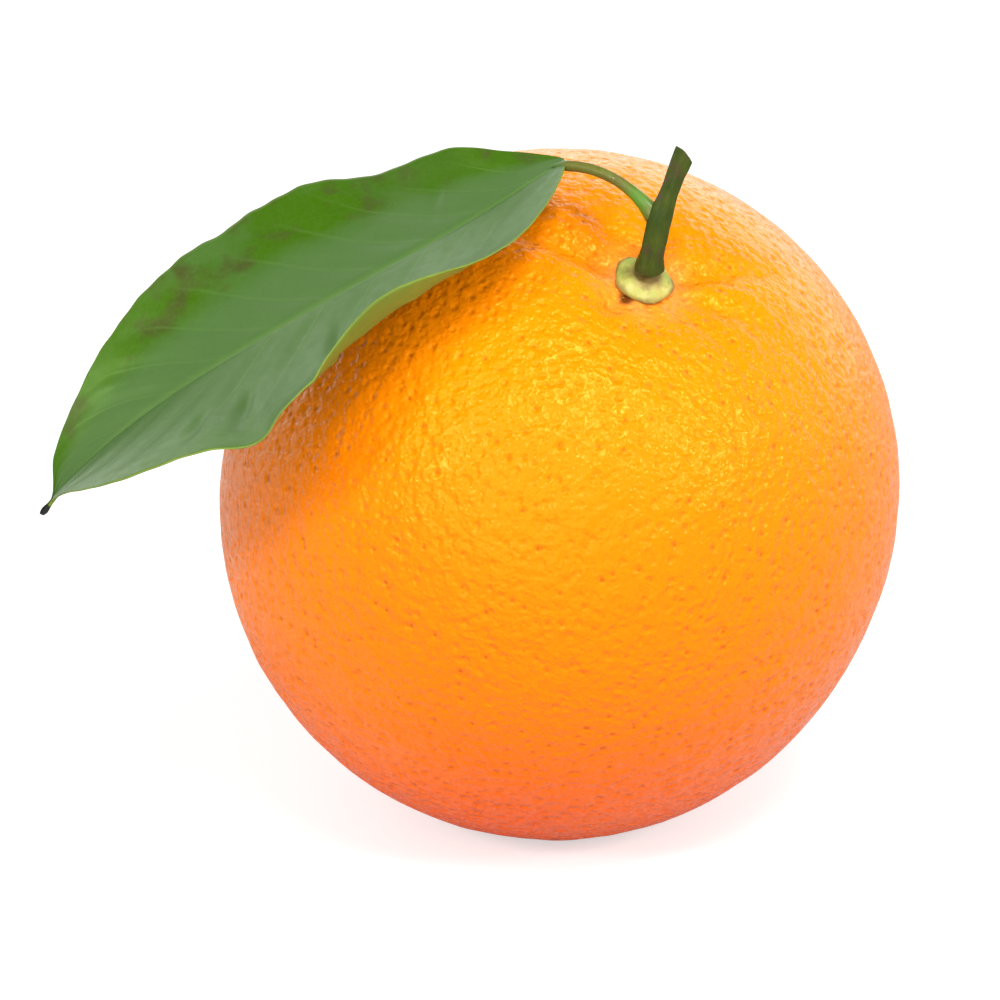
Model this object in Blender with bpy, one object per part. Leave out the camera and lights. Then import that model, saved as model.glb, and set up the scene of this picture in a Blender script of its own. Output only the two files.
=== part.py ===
"""An orange with its calyx, a cut stub of twig, and one leaf on its stalk.

Metres, +Z up. The origin is the centre of the small flat spot that the fruit rests on. The fruit's own
axis leans to the right (+X) and to the front (-Y), so its stem end is at the front of the top.
"""
from math import cos, exp, pi, radians, sin

import bmesh
import bpy
from mathutils import Vector

GAP = 0.0003                    # clearance kept between neighbouring pieces

# ---- driving dimensions: the fruit ----
FRUIT_RADIUS = 0.0396           # at the equator, so the fruit is about 80 mm across
FRUIT_HEIGHT_RATIO = 1.01       # radius along the axis over radius at the equator
SQUARENESS = 2.15               # 2 is a true ellipsoid, more has fuller shoulders
CENTRE = Vector((0.0, 0.0, 0.0390))         # a little under one radius up, which leaves the flat spot
STEM_AXIS = Vector((0.229, -0.512, 0.828)).normalized()
DIMPLE_DEPTH = 0.0014           # the hollow that the calyx sits in
DIMPLE_ANGLE = radians(11.0)
FURROW_START = radians(2.5)     # the creases start under the calyx
FURROW_FULL = radians(8.0)      # and are deepest this far from the axis
FURROW_WIDTH = radians(2.6)
# bearing about the axis (degrees, 0 to the right, 90 to the back), reach (degrees), depth (metres)
FURROWS = (
    (157.0, 31.0, 0.00095),
    (118.0, 24.0, 0.00045),
    (72.0, 22.0, 0.00050),
    (20.0, 30.0, 0.00070),
    (-14.0, 29.0, 0.00050),
    (-40.0, 21.0, 0.00035),
    (-88.0, 15.0, 0.00020),
    (-132.0, 12.0, 0.00055),
)

# ---- driving dimensions: calyx, stem and leaf stalk ----
CALYX_RADIUS = 0.0035
CALYX_LOBES = 5
CALYX_LOBE_DEPTH = 0.08         # how far the lobes stand out, as a share of the radius
CALYX_RISE = 0.0015             # from its rim up to the foot of the stem
CALYX_RIM = 0.0006              # thickness at the rim
STEM_PATH = (
    Vector((0.0094, -0.0209, 0.0728)),
    Vector((0.0099, -0.0221, 0.0770)),
    Vector((0.0103, -0.0211, 0.0819)),
    Vector((0.0128, -0.0188, 0.0849)),
)
STEM_FOOT_RADIUS = 0.00165
STEM_RADIUS = 0.00128
STEM_TIP_RADIUS = 0.00100
PETIOLE_PATH = (
    Vector((0.0081, -0.0206, 0.0798)),
    Vector((0.0065, -0.0188, 0.0826)),
    Vector((0.0033, -0.0165, 0.0832)),
    Vector((0.0007, -0.0140, 0.0832)),
)
PETIOLE_RADIUS = 0.00058
PETIOLE_FOOT_RADIUS = 0.00075

# ---- driving dimensions: the leaf blade ----
MIDRIB = (
    Vector((0.0003, -0.0137, 0.0831)),
    Vector((-0.0187, -0.0143, 0.0695)),
    Vector((-0.0444, -0.0290, 0.0642)),
    Vector((-0.0582, -0.0189, 0.0443)),
)
LEAF_THICKNESS = 0.0005
TROUGH_FACES = Vector((0.0, -0.940, 0.342))     # the way the hollow between the two halves opens
LEAF_END_WIDTH = 0.0006         # half width left at the base and at the tip
FAR_WIDTH = 0.0181              # greatest half width, and the two powers that shape its outline
FAR_PEAK = 0.80
FAR_FULLNESS = 1.12
NEAR_WIDTH = 0.0220
NEAR_PEAK = 0.97
NEAR_FULLNESS = 0.60
FAR_SLOPE = (50.0, 50.0, 20.0)  # degrees towards TROUGH_FACES at the base, the middle and the tip
NEAR_SLOPE = (66.0, 55.0, 85.0)
FAR_FLATTENING = 20.0           # degrees the far half lies back between the midrib and its margin
CURL = 62.0                     # degrees the near margin turns up, where it turns up most
CURL_PLACE = 0.37               # as a share of the leaf's length
CURL_SPREAD = 0.19
# side (-1 far, 1 near), place and spread along the leaf, degrees at the margin
MARGIN_WAVES = (
    (-1, 0.12, 0.04, -13.0),
    (-1, 0.25, 0.06, 14.0),
    (1, 0.60, 0.04, -12.0),
)

# ---- mesh fineness ----
FRUIT_SUBDIVISIONS = 5
LEAF_STATIONS = 37
LEAF_STRIPS = 9                 # from the midrib to one margin

COLOURS = {
    "rind": ((0.93, 0.33, 0.01, 1.0), 0.38),
    "calyx_green": ((0.55, 0.58, 0.16, 1.0), 0.60),
    "twig_green": ((0.07, 0.13, 0.03, 1.0), 0.60),
    "stalk_green": ((0.19, 0.24, 0.03, 1.0), 0.50),
    "leaf_green": ((0.09, 0.20, 0.05, 1.0), 0.40),
}


def clear_scene():
    for thing in list(bpy.data.objects):
        bpy.data.objects.remove(thing, do_unlink=True)


def make_material(name):
    colour, roughness = COLOURS[name]
    material = bpy.data.materials.new(name)
    material.use_nodes = True
    shader = material.node_tree.nodes["Principled BSDF"]
    shader.inputs["Base Color"].default_value = colour
    shader.inputs["Roughness"].default_value = roughness
    shader.inputs["Metallic"].default_value = 0.0
    material.diffuse_color = colour
    return material


def make_object(name, mesh_builder, material_name):
    """Turn a bmesh into a named object with outward faces and its own material."""
    bmesh.ops.recalc_face_normals(mesh_builder, faces=mesh_builder.faces)
    mesh = bpy.data.meshes.new(name)
    mesh_builder.to_mesh(mesh)
    mesh_builder.free()
    mesh.materials.append(make_material(material_name))
    mesh.shade_smooth()
    mesh.set_sharp_from_angle(angle=radians(40.0))
    thing = bpy.data.objects.new(name, mesh)
    bpy.context.scene.collection.objects.link(thing)
    return thing


def smooth_step(value):
    value = min(max(value, 0.0), 1.0)
    return value * value * (3.0 - 2.0 * value)


def bezier(points, t):
    """A point and the unit tangent of a cubic Bezier curve."""
    a, b, c, d = points
    s = 1.0 - t
    place = a * s ** 3 + b * 3 * s * s * t + c * 3 * s * t * t + d * t ** 3
    tangent = (b - a) * s * s + (c - b) * 2 * s * t + (d - c) * t * t
    return place, tangent.normalized()


# Two directions square to the fruit's axis: bearing 0 points right, bearing 90 points to the back.
BEARING_0 = (Vector((1.0, 0.0, 0.0)) - STEM_AXIS * STEM_AXIS.x).normalized()
BEARING_90 = STEM_AXIS.cross(BEARING_0)


def furrow_depth(polar, direction):
    """How deep the creases that run out from the calyx are, in one direction from the centre."""
    total = 0.0
    for bearing, reach, depth in FURROWS:
        along = BEARING_0 * cos(radians(bearing)) + BEARING_90 * sin(radians(bearing))
        if direction.dot(along) <= 0.0:
            continue
        across = direction.dot(STEM_AXIS.cross(along))
        rise = smooth_step((polar - FURROW_START) / (FURROW_FULL - FURROW_START))
        fade = 1.0 - smooth_step((polar - FURROW_FULL) / (radians(reach) - FURROW_FULL))
        total += depth * rise * fade * exp(-(across / FURROW_WIDTH) ** 2)
    return total


def fruit_radius(direction):
    """Distance from the centre to the rind: a full-shouldered body, the dimple and the furrows."""
    along = direction.dot(STEM_AXIS)
    side = (direction - STEM_AXIS * along).length
    body = side ** SQUARENESS + abs(along / FRUIT_HEIGHT_RATIO) ** SQUARENESS
    radius = FRUIT_RADIUS * body ** (-1.0 / SQUARENESS)
    polar = direction.angle(STEM_AXIS)
    dimple = DIMPLE_DEPTH * exp(-(polar / DIMPLE_ANGLE) ** 2)
    return radius - dimple - furrow_depth(polar, direction)


def make_fruit():
    """One solid fruit, cut level at the spot it rests on."""
    builder = bmesh.new()
    bmesh.ops.create_icosphere(builder, subdivisions=FRUIT_SUBDIVISIONS, radius=1.0)
    for vertex in builder.verts:
        direction = vertex.co.normalized()
        vertex.co = CENTRE + direction * fruit_radius(direction)
    everything = builder.verts[:] + builder.edges[:] + builder.faces[:]
    cut = bmesh.ops.bisect_plane(
        builder, geom=everything, dist=1e-7, plane_co=(0, 0, 0), plane_no=(0, 0, 1), clear_inner=True)
    rim = [item for item in cut["geom_cut"] if isinstance(item, bmesh.types.BMEdge)]
    bmesh.ops.contextual_create(builder, geom=rim)
    return make_object("fruit", builder, "rind")


def tube(path, radius_at, sides, rings):
    """A closed tube along a Bezier path, with a level end at each end."""
    builder = bmesh.new()
    side_guide = Vector((0.0, 1.0, 0.0))
    loops = []
    for ring in range(rings + 1):
        t = ring / rings
        place, tangent = bezier(path, t)
        right = side_guide.cross(tangent).normalized()
        up = tangent.cross(right)
        loop = []
        for side in range(sides):
            turn = 2.0 * pi * side / sides
            spoke = right * cos(turn) + up * sin(turn)
            loop.append(builder.verts.new(place + spoke * radius_at(t)))
        loops.append(loop)
    for first, second in zip(loops, loops[1:]):
        for side in range(sides):
            following = (side + 1) % sides
            builder.faces.new((first[side], first[following], second[following], second[side]))
    builder.faces.new(loops[0])
    builder.faces.new(loops[-1])
    return builder


def calyx_seat():
    """Height above the fruit's centre, along its axis, of the calyx's underside."""
    return FRUIT_RADIUS * FRUIT_HEIGHT_RATIO - DIMPLE_DEPTH + GAP


def make_calyx():
    """A low lobed disc, turned about the fruit's axis and highest where the stem stands on it."""
    builder = bmesh.new()
    segments = 8 * CALYX_LOBES
    profile = (                                 # share of the radius, height above the seat
        (1.0, 0.0),
        (1.0, CALYX_RIM),
        (0.82, CALYX_RIM + 0.35 * (CALYX_RISE - CALYX_RIM)),
        (0.55, CALYX_RISE),
    )
    loops = []
    for share, height in profile:
        loop = []
        for step in range(segments):
            turn = 2.0 * pi * step / segments
            lobe = 1.0 + CALYX_LOBE_DEPTH * share * cos(CALYX_LOBES * turn)
            spoke = BEARING_0 * cos(turn) + BEARING_90 * sin(turn)
            centre = CENTRE + STEM_AXIS * (calyx_seat() + height)
            loop.append(builder.verts.new(centre + spoke * CALYX_RADIUS * share * lobe))
        loops.append(loop)
    for first, second in zip(loops, loops[1:]):
        for step in range(segments):
            following = (step + 1) % segments
            builder.faces.new((first[step], first[following], second[following], second[step]))
    builder.faces.new(loops[0])
    builder.faces.new(loops[-1])
    return make_object("calyx", builder, "calyx_green")


def stem_radius(t):
    """A wide foot that narrows fast, then a slow taper to the cut end."""
    shaft = STEM_RADIUS + (STEM_TIP_RADIUS - STEM_RADIUS) * smooth_step(t)
    return shaft + (STEM_FOOT_RADIUS - STEM_RADIUS) * (1.0 - smooth_step(t / 0.3))


def petiole_radius(t):
    return PETIOLE_RADIUS + (PETIOLE_FOOT_RADIUS - PETIOLE_RADIUS) * (1.0 - smooth_step(t / 0.25))


def make_stem():
    return make_object("stem", tube(STEM_PATH, stem_radius, sides=16, rings=14), "twig_green")


def make_petiole():
    return make_object("petiole", tube(PETIOLE_PATH, petiole_radius, sides=10, rings=14), "stalk_green")


def three_point(values, t):
    """Read a value given at the base, the middle and the tip, in straight steps between them."""
    base, middle, tip = values
    if t < 0.5:
        return base + (middle - base) * 2.0 * t
    return middle + (tip - middle) * (2.0 * t - 1.0)


def half_width(greatest, peak, fullness, t):
    return LEAF_END_WIDTH + (greatest - LEAF_END_WIDTH) * max(sin(pi * t ** peak), 0.0) ** fullness


def slope(side, t, share):
    """Angle of the blade at a share of its half width, towards the way the trough faces."""
    if side < 0:
        angle = three_point(FAR_SLOPE, t) - FAR_FLATTENING * share
    else:
        curl = CURL * exp(-((t - CURL_PLACE) / CURL_SPREAD) ** 2)
        angle = three_point(NEAR_SLOPE, t) + curl * share ** 2
    for wave_side, place, spread, degrees in MARGIN_WAVES:
        if wave_side == side:
            angle += degrees * exp(-((t - place) / spread) ** 2) * share
    return radians(angle)


def blade_row(t):
    """Points across the leaf at one station, from the far margin to the near one, with normals."""
    place, tangent = bezier(MIDRIB, t)
    across = TROUGH_FACES.cross(tangent).normalized()
    out = tangent.cross(across)
    halves = {}
    for side in (-1, 1):
        if side < 0:
            width = half_width(FAR_WIDTH, FAR_PEAK, FAR_FULLNESS, t)
        else:
            width = half_width(NEAR_WIDTH, NEAR_PEAK, NEAR_FULLNESS, t)
        point = place.copy()
        row = []
        for strip in range(1, LEAF_STRIPS + 1):
            middle = slope(side, t, (strip - 0.5) / LEAF_STRIPS)
            point = point + (across * cos(middle) + out * sin(middle)) * side * width / LEAF_STRIPS
            edge = slope(side, t, strip / LEAF_STRIPS)
            row.append((point, out * cos(edge) - across * sin(edge)))
        halves[side] = row
    middle = 0.5 * (slope(-1, t, 0.0) + slope(1, t, 0.0))
    midrib = (place, out * cos(middle) - across * sin(middle))
    return halves[-1][::-1] + [midrib] + halves[1]


def make_leaf_blade():
    """The folded blade: a grid for each face of the leaf, joined all round its margin."""
    builder = bmesh.new()
    upper = []
    lower = []
    for station in range(LEAF_STATIONS):
        row = blade_row(station / (LEAF_STATIONS - 1))
        half = LEAF_THICKNESS / 2
        upper.append([builder.verts.new(point + normal * half) for point, normal in row])
        lower.append([builder.verts.new(point - normal * half) for point, normal in row])
    last_row = LEAF_STATIONS - 1
    last_column = 2 * LEAF_STRIPS
    for i in range(last_row):
        for j in range(last_column):
            builder.faces.new((upper[i][j], upper[i + 1][j], upper[i + 1][j + 1], upper[i][j + 1]))
            builder.faces.new((lower[i][j], lower[i][j + 1], lower[i + 1][j + 1], lower[i + 1][j]))
        for j in (0, last_column):
            builder.faces.new((upper[i][j], lower[i][j], lower[i + 1][j], upper[i + 1][j]))
    for i in (0, last_row):
        for j in range(last_column):
            builder.faces.new((upper[i][j], upper[i][j + 1], lower[i][j + 1], lower[i][j]))
    return make_object("leaf_blade", builder, "leaf_green")


clear_scene()
make_fruit()
make_calyx()
make_stem()
make_petiole()
make_leaf_blade()
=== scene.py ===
# %% [markdown]
# # An orange with a leaf
#
# This lesson dresses a plain solid model of an orange so that it looks like a real one. The solid model
# holds the sizes: a fruit 80 mm across, a calyx, a stub of twig, a leaf stalk and a leaf blade. Each of
# them is rebuilt here in the same place with a finer mesh and a procedural material.
#
# The first cell loads the solid model.

from math import cos, exp, pi, radians, sin

import bmesh
import bpy
import numpy as np
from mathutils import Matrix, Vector, noise


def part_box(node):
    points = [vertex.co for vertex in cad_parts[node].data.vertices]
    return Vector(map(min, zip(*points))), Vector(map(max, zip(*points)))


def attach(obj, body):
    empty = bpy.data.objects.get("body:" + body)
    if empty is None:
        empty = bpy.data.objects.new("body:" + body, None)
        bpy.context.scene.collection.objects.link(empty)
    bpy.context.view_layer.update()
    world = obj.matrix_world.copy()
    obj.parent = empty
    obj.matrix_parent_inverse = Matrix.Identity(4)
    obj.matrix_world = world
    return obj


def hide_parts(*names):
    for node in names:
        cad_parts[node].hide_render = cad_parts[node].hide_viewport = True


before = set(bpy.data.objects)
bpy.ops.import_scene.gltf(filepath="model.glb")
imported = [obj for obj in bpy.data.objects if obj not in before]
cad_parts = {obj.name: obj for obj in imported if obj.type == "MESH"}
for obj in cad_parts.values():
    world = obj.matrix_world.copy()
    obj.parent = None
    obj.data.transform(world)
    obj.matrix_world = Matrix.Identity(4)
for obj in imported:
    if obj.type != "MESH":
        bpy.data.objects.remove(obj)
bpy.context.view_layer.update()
print("solid nodes:", sorted(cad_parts))

# %% [markdown]
# ## Where things are
#
# The orange rests on a small flat spot, and the origin is the middle of that spot. Its own axis, from the
# blossom end to the stem end, leans to the right and to the front. A bearing is an angle about that axis:
# 0 degrees points to the right and 90 degrees to the back.

# %% The fruit's centre and axis
FRUIT_RADIUS = 0.0396
CENTRE = Vector((0.0, 0.0, 0.0390))
STEM_AXIS = Vector((0.229, -0.512, 0.828)).normalized()
BEARING_0 = (Vector((1.0, 0.0, 0.0)) - STEM_AXIS * STEM_AXIS.x).normalized()
BEARING_90 = STEM_AXIS.cross(BEARING_0)
fruit_low, fruit_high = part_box("fruit")
print("fruit solid spans", fruit_high - fruit_low)


def bearing(degrees):
    """The direction square to the fruit's axis at a bearing."""
    return BEARING_0 * cos(radians(degrees)) + BEARING_90 * sin(radians(degrees))


# %% [markdown]
# ## Small tools for shapes
#
# A smooth step eases a value from 0 to 1, a bell is 1 in the middle and fades to both sides, and a cubic
# Bezier curve gives every stalk and the leaf's midrib its path from four points.

# %% Easing, bell and Bezier
def smooth_step(value):
    value = np.clip(value, 0.0, 1.0)
    return value * value * (3.0 - 2.0 * value)


def bell(value, middle, spread):
    return np.exp(-((value - middle) / spread) ** 2)


def bezier(points, t):
    """A point and the unit tangent of a cubic Bezier curve."""
    a, b, c, d = points
    s = 1.0 - t
    place = a * s ** 3 + b * 3 * s * s * t + c * 3 * s * t * t + d * t ** 3
    tangent = (b - a) * s * s + (c - b) * 2 * s * t + (d - c) * t * t
    return place, tangent.normalized()


def add_piece(name, mesh, node, materials):
    """Put a finished mesh in the scene in place of a solid node."""
    for material in materials:
        mesh.materials.append(material)
    piece = bpy.data.objects.new(name, mesh)
    bpy.context.scene.collection.objects.link(piece)
    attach(piece, "root")
    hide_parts(node)
    print(name, "has", len(mesh.polygons), "faces")
    return piece


# %% [markdown]
# ## Small tools for materials
#
# A procedural material is a graph of nodes. Writing one is easier to read when a node and its inputs are
# made in one call, so `add` takes the inputs by name: a socket is linked, anything else is set.

# %% Node helpers
def put(tree, socket, value):
    if isinstance(value, bpy.types.NodeSocket):
        tree.links.new(value, socket)
    else:
        socket.default_value = value


def add(tree, kind, settings=None, **inputs):
    """Add a node; keyword names are socket names with _ for a space."""
    node = tree.nodes.new(kind)
    for name, value in (settings or {}).items():
        setattr(node, name, value)
    for name, value in inputs.items():
        put(tree, node.inputs[name.replace("_", " ")], value)
    return node


def maths(tree, operation, first, second=0.0, clamp=False):
    node = add(tree, "ShaderNodeMath", {"operation": operation, "use_clamp": clamp})
    put(tree, node.inputs[0], first)
    put(tree, node.inputs[1], second)
    return node.outputs[0]


def blend_colours(tree, factor, first, second, mode="MIX"):
    node = add(tree, "ShaderNodeMix", {"data_type": "RGBA", "blend_type": mode})
    put(tree, node.inputs[0], factor)
    put(tree, node.inputs[6], first)
    put(tree, node.inputs[7], second)
    return node.outputs[2]


def ramp(tree, value, low, high, to_low=0.0, to_high=1.0):
    """Map a value smoothly from one range to another and hold it at both ends."""
    node = add(tree, "ShaderNodeMapRange", {"interpolation_type": "SMOOTHSTEP"}, Value=value)
    node.inputs["From Min"].default_value = low
    node.inputs["From Max"].default_value = high
    node.inputs["To Min"].default_value = to_low
    node.inputs["To Max"].default_value = to_high
    return node.outputs[0]


def distance_to(tree, coords, point):
    """Distance of the shaded spot from a point, in metres."""
    node = add(tree, "ShaderNodeVectorMath", {"operation": "DISTANCE"})
    put(tree, node.inputs[0], coords)
    put(tree, node.inputs[1], point)
    return node.outputs["Value"]


def new_material(name, **plain):
    """A material with a Principled shader; plain values are set on the shader's own sockets."""
    material = bpy.data.materials.new(name)
    material.use_nodes = True
    tree = material.node_tree
    shader = tree.nodes["Principled BSDF"]
    for socket, value in plain.items():
        shader.inputs[socket.replace("_", " ")].default_value = value
    return material, tree, shader


def new_group(name, inputs, outputs):
    """A shader node group whose inputs are (name, default) floats or vectors; outputs are names."""
    group = bpy.data.node_groups.new(name, "ShaderNodeTree")
    for label, default in inputs:
        kind = "NodeSocketVector" if default is None else "NodeSocketFloat"
        socket = group.interface.new_socket(label, in_out="INPUT", socket_type=kind)
        if default is not None:
            socket.default_value = default
    for label in outputs:
        group.interface.new_socket(label, in_out="OUTPUT", socket_type="NodeSocketFloat")
    ins = group.nodes.new("NodeGroupInput")
    outs = group.nodes.new("NodeGroupOutput")
    return group, ins.outputs, outs.inputs


def use_group(tree, group, **inputs):
    node = tree.nodes.new("ShaderNodeGroup")
    node.node_tree = group
    for name, value in inputs.items():
        put(tree, node.inputs[name.replace("_", " ")], value)
    return node.outputs


# %% [markdown]
# ## Effects that several finishes share
#
# Nothing that grows has one even colour. `mottle` gives soft patches a few millimetres wide, with smaller
# ones inside them. `grain` is the finest roughness of a skin, used for bump and for gloss.

# %% Shared group: mottle
mottle, into, out = new_group(
    "mottle", [("Vector", None), ("Size", 0.01), ("Contrast", 1.0), ("Shift", 0.0)], ["Mask"])
per_size = maths(mottle, "DIVIDE", 1.0, into["Size"])
patches = add(mottle, "ShaderNodeTexNoise", Vector=into["Vector"], Scale=per_size)
patches.inputs["Detail"].default_value = 4.0
patches.inputs["Roughness"].default_value = 0.6
centred = maths(mottle, "SUBTRACT", patches.outputs[0], 0.5)
stretched = maths(mottle, "MULTIPLY", centred, maths(mottle, "MULTIPLY", into["Contrast"], 2.5))
shifted = maths(mottle, "ADD", maths(mottle, "ADD", stretched, 0.5), into["Shift"], clamp=True)
mottle.links.new(shifted, out["Mask"])
print("group", mottle.name)

# %% Shared group: grain
grain, into, out = new_group("grain", [("Vector", None), ("Size", 0.0003)], ["Height", "Gloss"])
per_size = maths(grain, "DIVIDE", 1.0, into["Size"])
fine = add(grain, "ShaderNodeTexNoise", Vector=into["Vector"], Scale=per_size, Detail=2.0)
wide = add(grain, "ShaderNodeTexNoise", Vector=into["Vector"], Scale=maths(grain, "DIVIDE", per_size, 6.0))
grain.links.new(fine.outputs[0], out["Height"])
grain.links.new(maths(grain, "SUBTRACT", wide.outputs[0], 0.5), out["Gloss"])
print("group", grain.name)

# %% [markdown]
# ## The camera
#
# The camera looks slightly down at the fruit from the front with a long lens, as a product
# photographer would, so that the fruit keeps its round shape.

# %% Camera
camera_data = bpy.data.cameras.new("camera")
camera_data.lens = 120.0
camera_data.sensor_width = 36.0
camera = bpy.data.objects.new("camera", camera_data)
bpy.context.scene.collection.objects.link(camera)
camera.location = (-0.0068, -0.3704, 0.1732)
camera.rotation_euler = (radians(70.0), 0.0, 0.0)
bpy.context.scene.camera = camera
print("camera", camera.location[:])

# %% [markdown]
# ## The rind's shape
#
# An orange is not a ball. Its shoulders are full, it has a dimple where the calyx sits, and creases run
# out from that dimple. One formula gives the distance from the centre to the rind in any direction. It is
# the one that shaped the solid, with deeper creases.

# %% The body, dimple and furrows
HEIGHT_RATIO = 1.01
SQUARENESS = 2.15
DIMPLE_DEPTH = 0.0014
DIMPLE_ANGLE = radians(11.0)
FURROW_START = radians(2.5)
FURROW_FULL = radians(8.0)
# bearing (degrees), reach (degrees), depth (metres), half width (degrees)
FURROWS = (
    (157.0, 33.0, 0.00170, 2.6),
    (118.0, 24.0, 0.00080, 2.6),
    (72.0, 22.0, 0.00090, 2.6),
    (20.0, 31.0, 0.00130, 2.4),
    (-14.0, 30.0, 0.00085, 2.2),
    (-40.0, 22.0, 0.00055, 2.0),
    (-88.0, 15.0, 0.00025, 2.2),
    (-132.0, 12.0, 0.00075, 1.8),
)


def rind_radius(directions):
    """Distance from the centre to the rind for an array of unit directions."""
    axis = np.array(STEM_AXIS)
    along = directions @ axis
    side = np.linalg.norm(directions - along[:, None] * axis, axis=1)
    body = side ** SQUARENESS + np.abs(along / HEIGHT_RATIO) ** SQUARENESS
    radius = FRUIT_RADIUS * body ** (-1.0 / SQUARENESS)
    polar = np.arccos(np.clip(along, -1.0, 1.0))
    radius -= DIMPLE_DEPTH * bell(polar, 0.0, DIMPLE_ANGLE)
    for degrees, reach, depth, width in FURROWS:
        forward = np.array(bearing(degrees))
        across = directions @ np.cross(axis, forward)
        ahead = directions @ forward > 0.0
        rise = smooth_step((polar - FURROW_START) / (FURROW_FULL - FURROW_START))
        fade = 1.0 - smooth_step((polar - FURROW_FULL) / (radians(reach) - FURROW_FULL))
        radius -= depth * rise * fade * bell(across, 0.0, radians(width)) * ahead
    return radius


# %% [markdown]
# The mesh starts as a cube cut into a fine grid and blown up into a ball. Unlike a ball made of rings, it
# has no pole where the faces crowd together. The tangent evens out the size of the squares.

# %% A fine grid on a ball
RIND_CUTS = 127


def ball_grid(cuts):
    """Unit directions and faces of a cube grid spread over a ball."""
    builder = bmesh.new()
    bmesh.ops.create_cube(builder, size=2.0)
    bmesh.ops.subdivide_edges(builder, edges=builder.edges[:], cuts=cuts, use_grid_fill=True)
    mesh = bpy.data.meshes.new("rind")
    builder.to_mesh(mesh)
    builder.free()
    places = np.zeros(len(mesh.vertices) * 3)
    mesh.vertices.foreach_get("co", places)
    places = np.tan(places.reshape(-1, 3) * pi / 4)
    return mesh, places / np.linalg.norm(places, axis=1)[:, None]


rind_mesh, directions = ball_grid(RIND_CUTS)
rind_places = np.array(CENTRE) + directions * rind_radius(directions)[:, None]
rind_mesh.vertices.foreach_set("co", rind_places.ravel())
print("rind vertices:", len(directions))

# %% [markdown]
# The rind is covered with oil glands, small pits about 1.3 mm apart, and it swells and sinks a little
# over a few millimetres. A Geometry Nodes modifier moves every vertex along its normal. It reads the same
# Voronoi pattern as the material will, so the real pits and the pits of the bump map lie in one place.

# %% Glands and swells as real shape
GLAND_SPACING = 0.00135
GLAND_REACH = 0.50              # radius of a pit, in gland spacings
GLAND_DEPTH = 0.00013
SWELL_SIZE = 0.0050
SWELL_DEPTH = 0.00030


def gland_modifier():
    group = bpy.data.node_groups.new("glands_and_swells", "GeometryNodeTree")
    group.interface.new_socket("Geometry", in_out="INPUT", socket_type="NodeSocketGeometry")
    group.interface.new_socket("Geometry", in_out="OUTPUT", socket_type="NodeSocketGeometry")
    source = group.nodes.new("NodeGroupInput")
    result = group.nodes.new("NodeGroupOutput")
    place = group.nodes.new("GeometryNodeInputPosition").outputs[0]
    normal = group.nodes.new("GeometryNodeInputNormal").outputs[0]
    cells = add(group, "ShaderNodeTexVoronoi", Vector=place, Scale=1.0 / GLAND_SPACING)
    pit = ramp(group, cells.outputs["Distance"], 0.0, GLAND_REACH, -GLAND_DEPTH, 0.0)
    swells = add(group, "ShaderNodeTexNoise", Vector=place, Scale=1.0 / SWELL_SIZE, Detail=1.0)
    swell = maths(group, "MULTIPLY", maths(group, "SUBTRACT", swells.outputs[0], 0.5), SWELL_DEPTH)
    height = maths(group, "ADD", pit, swell)
    offset = add(group, "ShaderNodeVectorMath", {"operation": "SCALE"}, Scale=height)
    put(group, offset.inputs[0], normal)
    move = group.nodes.new("GeometryNodeSetPosition")
    group.links.new(source.outputs[0], move.inputs["Geometry"])
    group.links.new(offset.outputs[0], move.inputs["Offset"])
    group.links.new(move.outputs[0], result.inputs[0])
    return group


rind_maker = bpy.data.objects.new("rind_maker", rind_mesh)
bpy.context.scene.collection.objects.link(rind_maker)
rind_maker.modifiers.new("glands", "NODES").node_group = gland_modifier()
evaluated = rind_maker.evaluated_get(bpy.context.evaluated_depsgraph_get())
pitted_mesh = bpy.data.meshes.new_from_object(evaluated)
bpy.data.objects.remove(rind_maker)

# %% [markdown]
# The underside is pressed flat where the fruit rests, so no vertex may lie below the floor.

# %% The flat spot it rests on
places = np.zeros(len(pitted_mesh.vertices) * 3)
pitted_mesh.vertices.foreach_get("co", places)
places = places.reshape(-1, 3)
places[:, 2] = np.maximum(places[:, 2], 0.0)
pitted_mesh.vertices.foreach_set("co", places.ravel())
pitted_mesh.shade_smooth()
print("vertices on the flat spot:", int((places[:, 2] <= 0.0).sum()))

# %% [markdown]
# ## The rind's finish
#
# The skin is deep red-orange low down and yellower on top: painted shade and painted light that stand
# in for how the light falls on the ball. It is darker in some of the pores and tan around the calyx. It is
# glossy, and the pits break its reflections into the small glints by which one knows an orange.

# %% Rind material
RIND_PAINTED_LIGHT_YELLOW = (0.98, 0.265, 0.001, 1.0)
RIND_ORANGE = (0.95, 0.190, 0.001, 1.0)
RIND_PAINTED_SHADE_RED = (0.86, 0.085, 0.002, 1.0)
PORE_BROWN = (0.42, 0.07, 0.004, 1.0)
CALYX_TAN = (0.75, 0.33, 0.10, 1.0)
CREVICE_PAINTED_SHADE = (0.060, 0.010, 0.004, 1.0)
CREVICE_BEARING = -126.0
CREVICE_REACH = 0.0034
PEBBLE_SIZE = 0.0013


SEAT_HEIGHT = FRUIT_RADIUS * HEIGHT_RATIO - DIMPLE_DEPTH
SEAT = CENTRE + STEM_AXIS * SEAT_HEIGHT
CREVICE = SEAT + bearing(CREVICE_BEARING) * CREVICE_REACH


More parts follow.
